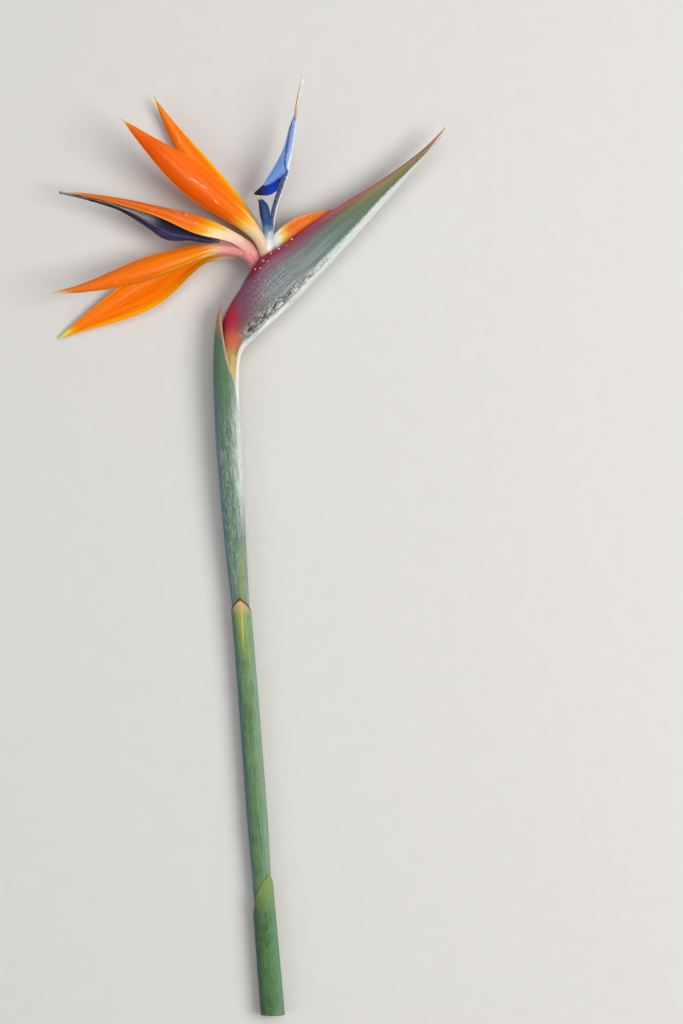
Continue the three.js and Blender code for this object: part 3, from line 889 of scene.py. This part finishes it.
sheath(
    "sheath_bottom", "lower_sheath", "sheath_lower", lower_sheath_green(), CUT_END, 0.24 * math.pi,
    [-291.5, -297, -306, -316, -325],
    [(CUT_END, 7.1), (-345, 6.95), (-325, 6.75), (-300, 6.45), (-291, 6.4)],
)

sheath(
    "sheath_centre", "sheath", "sheath_middle", middle_sheath_green(), -321, 0.5 * math.pi,
    [-131, -134.8, -139.5, -146, -151],
    [(-321, 5.4), (-290, 5.45), (-268, 6.1), (-234, 6.05), (-190, 5.95), (-164, 5.85), (-139, 5.8),
     (-131, 5.95)],
    wall=0.6, rows=18,
)

sheath(
    "sheath_head", "sheath", "sheath_upper", upper_sheath_green(), -161, math.pi,
    [39, 38.6, 37.2, 23, 8, -3, -17, -35, -42],
    [(-161, 4.4), (-142, 4.7), (-131, 5.2), (-112, 5.95), (-94, 6.4), (-60, 7.2), (-40, 7.7), (-20, 8),
     (0, 8.5), (14, 8.2), (24, 7.6), (32, 6.6), (37, 5.2), (39, 4.2)],
    columns=32, rows=20,
)

# Spathe

SPATHE_KEEL = rail([
    (4.9, -46, 0), (4.4, -31, 0), (4.3, SPATHE_FOOT, 0), (4.2, -7.5, 0), (4.3, 2.3, 0), (5.5, 10.5, 0),
    (9.3, 16, 0), (17.4, 23.2, 0), (27.8, 32.5, 0), (39.4, 43.6, 0), (51, 55.7, 0), (65.5, 71.6, 0),
    (82.9, 91.3, 0), (100.5, 111.1, 0), (116.7, 129.6, 0), (122, 137, 0), (124, 141.2, 0),
])
SPATHE_BACK = [
    (-7.7, -46, 0), (-8.1, -31, 0), (-8.3, SPATHE_FOOT, 0), (-7.8, -7.5, 0), (-7, 2.3, 0), (-6.4, 18, 0),
    (-5.8, 29, 0),
]
SPATHE_BEAK = [(66.1, 98.9, 0), (87.6, 111.9, 0), (109.2, 127.6, 0), (118.3, 136.2, 0), (123.3, 141.5, 0)]
NEAR_LIP = [(-1.9, 39.6, 0), (8.2, 54, 0), (15.4, 64.8, 0), (29.6, 73.6, 0), (45.2, 85, 0)]
FAR_LIP = [(-1.6, 40, 0), (7.6, 53, 0), (14.9, 64.2, 0), (28.8, 73.4, 0), (45.2, 84.3, 0)]
SPATHE_NEAR, SPATHE_FAR = [rail(SPATHE_BACK + lip + SPATHE_BEAK) for lip in (NEAR_LIP, FAR_LIP)]
SPATHE_MIDDLE = graph(
    [12, 12.3, 12.5, 12.5, 12.4, 12.3, 12.2, 12.1, 12, 12, 12.2, 12.8, 13.7, 14.6, 15.5, 16, 16.3]
)
SPATHE_SWELL = graph([6, 5.9, 5.7, 5.4, 5.2, 6, 7, 7.8, 7.7, 8.1, 8.6, 7.7, 6.4, 4.5, 2.4, 1.1, 0.3])
SPATHE_SLIT = graph([0.9, 1.1, 1.5, 1.5, 1.5, 1.5, 1.7, 3.8, 7.9, 8.4, 6.2, 4.2, 1.8, 1.6, 1.4, 0.8, 0.1])


def spathe_point(across, along):
    """The outside of the spathe, from its near edge round its keel to its far edge."""
    turn = math.pi * abs(across * 2 - 1)
    side = 1 if across < 0.5 else -1
    keel = SPATHE_KEEL(along)
    edge = (SPATHE_NEAR if across < 0.5 else SPATHE_FAR)(along)
    reach = (1 - math.cos(turn)) / 2
    round_off = math.sin(turn) ** (1.25 if turn < math.pi / 2 else 1)
    point = keel.lerp(edge, reach)
    height = SPATHE_SLIT(along) * reach + SPATHE_SWELL(along) * round_off
    return point.x, point.y, max(SPATHE_MIDDLE(along) + side * height, LOWEST)


def spathe_outside():
    """Grey-green and mauve, streaked with wax, with a white keel, a red edge and a crimson to yellow foot."""
    f = Finish("spathe_skin", roughness=0.42, coat=0.12, glow=0.04)
    x, y, v = f.x, f.y, f.along
    fine, broad = f.streaks(120.0, 8.0, 8.8)
    reach = (f.off_keel * (2 * math.pi)).calc("COSINE") * -0.5 + 0.5
    f.skin = ramp((broad - 0.5) * 0.03 + v, [
        (0.0, "C4C4B8"), (0.18, "C0BCA4"), (0.24, "C0A858"), (0.29, "AE9A44"), (0.34, "9C7048"),
        (0.4, "6A4A44"), (0.48, "5E5054"), (0.58, "5E6664"), (0.68, "556A5E"), (0.77, "526A40"),
        (0.85, "86703E"), (0.895, "B87258"), (0.95, "CE8C7C"), (1.0, "E0BCAC"),
    ])
    f.paint("404C44", broad * 0.4 * v.band(0.3, 0.4) * v.fall(0.8, 0.9))
    f.paint("6C3858", reach.band(0.3, 0.9) * v.band(0.33, 0.41) * v.fall(0.5, 0.78) * 0.85)
    wax = fine * v.band(0.36, 0.52, 0.1, 0.42) * v.band(0.6, 0.74, 1.0, 0.3)
    f.paint("B2BEC2", wax * reach.band(0.35, 0.85, 1.0, 0.2))
    frost = cloud(f.place, 1000.0, 3.0, 0.7).band(0.48, 0.62) * v.band(0.4, 0.5) * v.fall(0.56, 0.66)
    f.paint("B4BEC0", frost * reach.band(0.6, 0.9, 0.3, 0.16))

    # Mauve, olive, orange and crimson at the foot.
    f.paint("743450", f.spot(4, 38, 20, 24) * 0.6)
    f.paint("6E5C3C", f.stroke([(7.4, 27.5), (5.6, 23.5), (4.2, 18), (3, 11)], 3.6) * 0.5)
    ragged = cloud(f.place, 160.0, 3.0) * 5.0 - 2.5
    f.paint("C4603A", f.spot(-0.5, 19, 8.5, 11, ragged) * 0.85)
    f.paint("B01232", f.spot(-3.5, 31.5, 11.5, 16, ragged))

    # Tan, green and rose towards the tip, and the red edges.
    tan = reach.band(0.4, 0.78) * v.band(0.68, 0.82) * v.band(0.85, 0.9, 1.0, 0.1)
    f.paint("A69058", tan * 0.85)
    lined = fine * v.band(0.64, 0.72) * reach.band(0.25, 0.4) * reach.fall(0.75, 0.9)
    f.paint("4A5A3C", lined * 0.3)
    flush = (reach - v.band(0.68, 0.82, 0.0, 0.2)).band(0.62, 0.95) * v.band(0.5, 0.6)
    f.paint("963A56", flush * v.band(0.88, 0.96, 1.0, 0.2) * 0.75)
    inner = v.band(0.52, 0.66, 0.82, 0.92)
    f.paint("78182A", (reach - inner).band(-0.02, 0.08) * v.band(0.48, 0.53) * v.fall(0.62, 0.72) * 0.92)
    edge = (reach + v.band(0.64, 0.74) * v.band(0.8, 0.88, 0.08, 0.0)).band(0.9, 0.99) * v.band(0.5, 0.56)
    reds = [(0.54, "98203C"), (0.62, "AC2C4C"), (0.74, "CC5678"), (0.86, "CE6C7C"), (0.93, "CC7468")]
    f.paint(ramp(v, reds), edge * 0.9)
    f.paint("D8C4D2", reach.band(0.95, 0.985) * v.band(0.33, 0.38) * v.fall(0.47, 0.5) * 0.85)

    # The white keel, with a ragged border.
    torn = cloud(f.place, 700.0, 3.0, 0.7) * (v.band(0.58, 0.68) * 0.16) + reach
    limit = v.band(0.54, 0.68, 0.16, 0.27) + v.band(0.72, 0.8, 0.0, 0.07) + v.band(0.86, 0.96, 0.0, 0.3)
    keel = (torn - limit).fall(-0.08, 0.04) * broad.band(0.0, 1.0, 0.85, 1.0) * fine.band(0.0, 1.0, 0.75, 1.0)
    white = mix(fine * v.band(0.5, 0.6) * 0.4, "F6FBF8", "BACDC3")
    f.paint(mix(v.band(0.88, 0.96), white, "F4E6DC"), keel * v.band(0.84, 0.95, 1.0, 0.8))

    # The pale side by the keel, with a net of dark scribbles.
    within = (reach - v.band(0.4, 0.68, 0.44, 0.2)).fall(-0.14, 0.03)
    zone = reach.band(0.05, 0.14) * within * v.band(0.355, 0.41) * v.fall(0.62, 0.74)
    f.paint("D2D5CC", zone * reach.band(0.1, 0.36, 0.85, 0.2))
    long = cloud(vector(reach * 32.0, v * 7.0, 5.5), 1.0, 2.0).near(0.52, 0.005, 0.045)
    dark = long * reach.band(0.015, 0.04) * reach.fall(0.16, 0.26) * v.band(0.34, 0.4) * v.fall(0.54, 0.64)
    f.paint("3E3A34", dark * 0.8)
    wobble = cloud(f.place, 420.0, 2.0)
    down, over = x * 0.24 + y * 0.25, x * 0.72 - y * 0.69
    lines = crackle(vector(wobble * 3.4 + down, wobble * -2.6 + over)).band(0.05, 0.2, 0.9, 0.0)
    scribble = zone * lines * cloud(f.place, 300.0, 3.0).band(0.36, 0.5)
    f.paint("1B241C", scribble)
    f.rough(fine.band(0, 1, 0.34, 0.56))
    f.bump(fine - scribble, strength=0.7)
    return f.made()


def spathe_inside():
    f = Finish("spathe_lining", roughness=0.35, coat=0.2)
    fine, _ = f.streaks(70.0, 6.0, 9.9)
    f.skin = mix(fine, "5A0A1C", "8C1A2C")
    f.bump(fine, strength=0.5)
    return f.made()


def spathe_share(across, along):
    """The share of the spathe's wall that is left: nothing at its edges and little in its foot."""
    return max(0.0, min(1, 1.1 - abs(across - 0.5) * 2)) * (1 - 0.7 * smooth(0.2, 0.1, along))


def build_spathe():
    columns = 24
    piece = grid("spathe_wall", columns, 34, spathe_point, spathe_outside(), spathe_inside())
    face_out(piece)
    crease_keel(piece, 0.35)
    subdivide(piece, 2)
    pleat(piece, columns * 4, 0.04)
    thicken(piece, 1.1, spathe_share, offset=-1, inside=1)
    done(piece, "spathe", "spathe")


build_spathe()

# Necks


def neck_finish(name, colours, streak, seed, strength):
    f = Finish(name, roughness=0.38, coat=0.15, glow=0.15)
    fine, broad = f.streaks(38.0, 2.8, seed)
    f.skin = ramp(f.along, colours)
    f.paint(streak, broad * strength)
    f.paint("F2DCC6", fine * (strength * 0.45))
    f.bump(fine)
    return f.made()


def neck(name, slot, node, finish, route, radii, heights=None, lobes=0.05, rows=18, columns=16):
    """A soft stem along a route, with shallow furrows along it. Heights make it flatter than wide."""
    line, radius_at, height_at = rail(route), graph(radii), graph(heights or radii)

    def place(across, along):
        run = heading(line, along)
        side = run.cross(Vector((0, 0, 1))).normalized()
        rise = side.cross(run)
        angle = 2 * math.pi * across
        furrow = 1 + lobes * math.cos(3 * angle + 0.6)
        wide, high = radius_at(along) * furrow, height_at(along) * furrow
        return line(along) + side * math.cos(angle) * wide + rise * math.sin(angle) * high

    piece = grid(name, columns, rows, place, finish)
    close_seam(piece)
    subdivide(piece, 2)
    close_ends(piece)
    done(piece, slot, node)


neck(
    "neck_1", "neck", "floret_1_neck",
    neck_finish(
        "neck_1_pink",
        [(0.0, "B87068"), (0.45, "A23C4A"), (0.52, "CC6A6C"), (0.6, "DA8480"), (0.74, "D68E8C"),
         (0.86, "D8969A"), (1.0, "DEB0A4")],
        "C04C70", 2.7, 0.8,
    ),
    [(-3.4, 0.7, 14.2), (-1.6, 12, 14.9), (4.6, 26, 15.4), (10.4, 39, 16), (15.6, 50, 15.8),
     (15.6, 57.6, 14.9), (13.4, 63.2, 14.4), (10.9, 67.6, 14.3), (7.1, 71.2, 14.5), (2.1, 73, 14.8),
     (-2.5, 73.8, 15), (-6.6, 73.8, 15), (-10.5, 73.2, 15)],
    [1.7, 2, 2.6, 3.2, 3.8, 4.1, 4.5, 5.1, 5.8, 6.4, 6.3, 5.2, 2.6],
    [1.7, 2, 2.6, 3.2, 3.8, 4.1, 4.3, 4.5, 4.5, 4.4, 4, 3.2, 1.4],
    rows=26,
)

neck(
    "neck_2", "neck", "floret_2_neck",
    neck_finish(
        "neck_2_white",
        [(0.0, "C8B09A"), (0.6, "CFA098"), (0.7, "DCCAB8"), (0.78, "E0DCD4"), (0.86, "C4D0D0"),
         (0.95, "88A4B0")],
        "EAEAE4", 6.3, 0.3,
    ),
    [(-1, 0.7, 10.8), (0.2, 12, 10.7), (6, 25.5, 9.6), (13, 38.5, 8.6), (19, 49.6, 8.2), (22.2, 60, 9.8),
     (21.6, 66.5, 12.4), (21.2, 71.6, 13.8), (21.3, 76.6, 14.8), (21.8, 81.6, 15.8)],
    [1.7, 2, 2.6, 3.2, 3.5, 3.9, 4.5, 4.5, 3.5, 2.2],
    [1.7, 2, 2.6, 3.2, 3.5, 3.8, 4.4, 5.4, 4.5, 2],
    rows=24,
)

# The blue tongue with its hood and stigma, and the withered tongue


def tongue_finish():
    """Blue arrow: light near wing with a painted highlight band, a dark groove of stain and painted shade, a
    white rim with a painted highlight, royal blue far wing with a painted shadow at its end, mottled claw.
    """
    f = Finish("tongue_blue", roughness=0.4, coat=0.08, glow=0.04)
    u, v = f.across, f.along
    fine, broad = f.streaks(60.0, 5.0, 4.6)
    near = ramp(v, [
        (0.0, "D6DEDE"), (0.04, "A8BAC2"), (0.08, "64809C"), (0.13, "2E3C68"), (0.36, "222E62"),
        (0.5, "264090"), (0.62, "3C60AC"), (0.69, "5078C0"), (0.77, "4A7AC2"), (0.86, "6088C8"),
        (0.94, "7090CA"), (1.0, "66609C"),
    ])
    far = ramp(v, [
        (0.0, "C8D4E0"), (0.07, "8298BC"), (0.13, "26386E"), (0.36, "10246E"), (0.5, "0450E8"),
        (0.64, "0440C0"), (0.8, "2B52C0"), (1.0, "6A74C0"),
    ])
    f.skin = mix(u.band(0.5, 0.54), near, far)
    far_lobe = u.band(0.5, 0.56) * v.band(0.36, 0.42)
    # Painted highlight along the far lobe's lower rim.
    f.paint("6A80D8", far_lobe * u.band(0.93, 0.98) * 0.5)
    # Painted shadow darkening the far lobe's left end.
    f.paint("050618", far_lobe * f.x.fall(15.5, 25.5))
    near_wing = u.fall(0.5, 0.53)
    f.paint("8CA6D8", fine * near_wing * 0.32)
    # Painted highlight band down the middle of the near wing.
    light = f.stroke([(35.9, 144), (34.8, 136.5), (33.9, 129.5), (33, 122.8), (32.4, 118)], 1.9)
    f.paint("94B0DC", light * near_wing * 0.75)
    violet = f.stroke([(32, 127), (33.4, 133.5), (35, 142)], 1.3)
    f.paint("34306C", violet * near_wing * fine * 0.8)
    f.paint("B4BED4", u.fall(0.01, 0.07) * v.band(0.6, 0.68) * broad.band(0.2, 0.6) * 0.65)
    mottle = cloud(f.place, 1500.0, 3.0, 0.6)
    torn = mottle.band(0.42, 0.54)
    f.paint("10122A", v.band(0.06, 0.11) * v.fall(0.52, 0.6) * u.band(0.02, 0.1) * near_wing * torn)
    grains = cloud(f.place, 2300.0, 2.0, 0.6).band(0.54, 0.62) * v.band(0.07, 0.13) * v.fall(0.5, 0.58)
    f.paint("C4CADA", grains * near_wing * u.band(0.1, 0.3, 0.1, 0.75))
    # The groove: a dark stain with painted shade in its crease.
    groove_line = [(35, 145.5), (33.2, 138.8), (32, 130.2), (31, 123.8), (30.9, 119.7), (32, 115.4)]
    groove_stain_and_shade = f.stroke(groove_line, 0.75) * near_wing * torn * v.band(0.55, 0.62)
    f.paint("1A1630", groove_stain_and_shade)
    # The white rim along the keel: a whitish edge with a painted highlight.
    white_rim_and_highlight = u.band(v.band(0.48, 0.6, 0.34, 0.39), v.band(0.48, 0.6, 0.43, 0.44)) * u.fall(0.52, 0.56)
    f.paint("EEF0F6", white_rim_and_highlight * mottle.band(0.34, 0.5, 0.4, 1.0) * v.band(0.05, 0.12))
    f.bump(fine - groove_stain_and_shade * 2.0)
    return f.made()


blade(
    "tongue_2", "tongue", "floret_2_tongue", tongue_finish(),
    [(23.6, 77, 15.6), (24.5, 83.2, 17.4), (25.2, 89.5, 18.8), (26.4, 95.2, 19.6), (28.4, 101.5, 20),
     (30.6, 107, 20.3), (32, 111, 20.5), (33.1, 114.5, 20.6), (33.8, 117.8, 20.7), (34.4, 120.6, 20.9),
     (35.1, 125.2, 21.3), (35.9, 131.4, 21.9), (36.9, 139.5, 22.6), (37.8, 148, 23.4)],
    [(21.4, 77, 16), (21.6, 83.2, 18), (22.1, 89.3, 19.6), (23.1, 94.6, 20.6), (24.9, 100.8, 21.2),
     (27, 106.8, 21.3), (28.4, 111.4, 21.5), (29.8, 115.8, 21.8), (25.2, 109.8, 23.4), (18.3, 107.2, 25),
     (24, 117.2, 24.6), (29.6, 128, 24.2), (33, 140, 23.8), (36.2, 148.4, 23.7)],
    [(21.6, 77.2, 14.8), (21.8, 83.4, 16), (22.3, 89.5, 17.4), (23.3, 95, 18.4), (24.9, 100.6, 18.8),
     (26.2, 105.2, 18.4), (22.4, 102.4, 16.8), (17.4, 102.2, 15), (12.5, 103.1, 14), (15.6, 106.4, 14.6),
     (24, 114, 16), (30.2, 127, 19), (33.6, 139.6, 21), (36.5, 148.2, 23)],
    belly=0.07, columns=10, rows=52, thickness=0.6, crease=1.0, pleats=0,
)


def hood_finish():
    f = Finish("hood_blue", roughness=0.45, coat=0.03, glow=0.03)
    fine, broad = f.streaks(24.0, 3.0, 6.7)
    f.skin = ramp(f.along, [
        (0.0, "B0C4CE"), (0.1, "6A8CAA"), (0.22, "22488A"), (0.5, "163C74"), (0.8, "14305E"),
        (0.86, "A0AC9C"), (0.92, "D4D2B4"), (1.0, "E4E0C4"),
    ])
    f.paint("10203E", f.across.fall(0.12, 0.42) * f.along.band(0.2, 0.4) * 0.6)
    # Painted highlight along both long edges.
    f.paint("426C9E", f.margin(0.16) * 0.55)
    f.paint("1A2A50", broad * 0.3)
    f.bump(fine, 0.0002, 0.5)
    return f.made()


blade(
    "hood_2", "hood", "floret_2_hood", hood_finish(),
    [(19.6, 77, 16.8), (19.5, 84.7, 20), (19, 89, 21.4), (18.4, 93.1, 22), (17.6, 96.5, 22.1),
     (16, 99.2, 21.9), (14.6, 101.6, 21.6)],
    [(18.4, 77, 16.2), (17.8, 84.7, 18.4), (16.6, 89, 19), (15.8, 93.1, 19.4), (15.6, 96.5, 20),
     (15.2, 99.2, 20.8), (14.3, 101.4, 21.4)],
    [(21.4, 77, 16.2), (21.8, 84.7, 18.4), (22.2, 89, 19), (22, 93.1, 19.4), (20.8, 97, 20),
     (17.4, 99.9, 20.8), (14.9, 101.9, 21.4)],
    thickness=0.5, crease=0.1, pleats=0.03,
)


def stigma_finish():
    f = Finish("stigma_cream", roughness=0.45, glow=0.1)
    fine, broad = f.streaks(10.0, 9.0, 3.3)
    colours = [(0.0, "5A5058"), (0.1, "B8A498"), (0.35, "E0D0BC"), (0.7, "EFE8D6"), (1.0, "F2EEE2")]
    f.skin = ramp(f.along, colours)
    # Painted shade darkening the left side, more towards the base.
    f.paint("A0705E", f.off_keel.fall(0.12, 0.3) * f.along.band(0.55, 0.8, 1.0, 0.25) * 0.8)
    f.paint("8A6658", broad * 0.3)
    f.bump(fine, 0.0002)
    return f.made()


neck(
    "stigma_2", "stigma", "floret_2_stigma", stigma_finish(),
    [(36.3, 144, 22.8), (37.2, 150, 23.6), (38.4, 157.5, 24.3), (40, 164.7, 25.2), (41.2, 169.2, 25.9),
     (40.8, 171.3, 26)],
    [0.4, 0.95, 0.85, 0.78, 0.6, 0.3],
    lobes=0.12, rows=14, columns=10,
)


def withered_finish():
    """Dry purple-grey tongue with long folds darkened by painted shade, blue patches and a cream fibrous
    upper edge.
    """
    f = Finish("withered_purple", roughness=0.55)
    u, v = f.across, f.along
    fine, broad = f.streaks(30.0, 2.2, 1.9)
    f.skin = ramp(v, [
        (0.0, "A8A29C"), (0.1, "3C3C5C"), (0.25, "262646"), (0.45, "262238"), (0.65, "322A38"),
        (0.85, "54464A"), (1.0, "A89A90"),
    ])
    f.paint("2C3A84", broad * v.band(0.08, 0.16) * v.fall(0.42, 0.6) * 0.6)
    f.paint("6E6284", fine * 0.4)
    # Painted shade in the long folds, which also dent the bump.
    fold = f.pattern(7.0, 1.3, 6.6).near(0.5, 0.0, 0.09)
    f.paint("15122A", fold * 0.85)
    f.paint("D2C8BE", u.fall(0.46, 0.7) * fine.band(0.4, 0.7) * v.band(0.4, 0.54) * 0.9)
    f.paint("8A6E72", u.band(0.95, 0.99) * v.band(0.2, 0.4) * 0.6)
    f.bump(fine - fold, 0.0005, 0.9)
    return f.made()


blade(
    "tongue_1", "withered_tongue", "floret_1_tongue", withered_finish(),
    [(-5.6, 74.4, 17.2), (-20.7, 77.7, 20), (-34.5, 80.8, 21.6), (-48.3, 88, 21.9), (-64.5, 95, 21.6),
     (-81.9, 100.1, 20.9), (-99.8, 103.7, 20.2)],
    [(-5, 75.6, 16.6), (-19.6, 81.3, 18.6), (-33.4, 86.4, 19), (-47.8, 92.4, 19.9), (-63.4, 97.1, 20.7),
     (-80.8, 100.7, 20.5), (-99.8, 104.2, 20.2)],
    [(-6, 73.5, 16.5), (-23.1, 76, 17), (-38.1, 76.4, 17.5), (-49.6, 84, 18.5), (-65.8, 93.6, 19.8),
     (-83.1, 99.2, 20.2), (-99.8, 103.2, 20.2)],
    columns=14, rows=30, thickness=0.5, crease=0.2, pleats=0.14, waves=(0.9, 0.2, 1.4),
)


def build_beads():
    """Drops of juice on the edge of the spathe: the place of each across and along it, and its size."""
    f = Finish("juice", roughness=0.12, coat=0.5)
    f.skin = mix(cloud(f.place, 900.0, 1.0).band(0.35, 0.6), "B8202E", "F4D9CF")
    juice = f.made()
    beads = [
        (0.08, 0.535, 0.6), (0.12, 0.548, 0.45), (0.09, 0.567, 0.9), (0.12, 0.574, 0.6), (0.07, 0.592, 0.5),
        (0.06, 0.612, 0.65), (0.09, 0.628, 0.4), (0.05, 0.644, 0.55),
    ]
    for index, (across, along, size) in enumerate(beads):
        place = spot(*spathe_point(across, along))
        bpy.ops.mesh.primitive_uv_sphere_add(segments=16, ring_count=10, radius=size * MM, location=place)
        bead = bpy.context.object
        bead.name = bead.data.name = f"bead_{index}"
        bpy.ops.object.transform_apply(location=True, rotation=True, scale=True)
        bead.data.materials.append(juice)
        done(bead, "spathe")


build_beads()
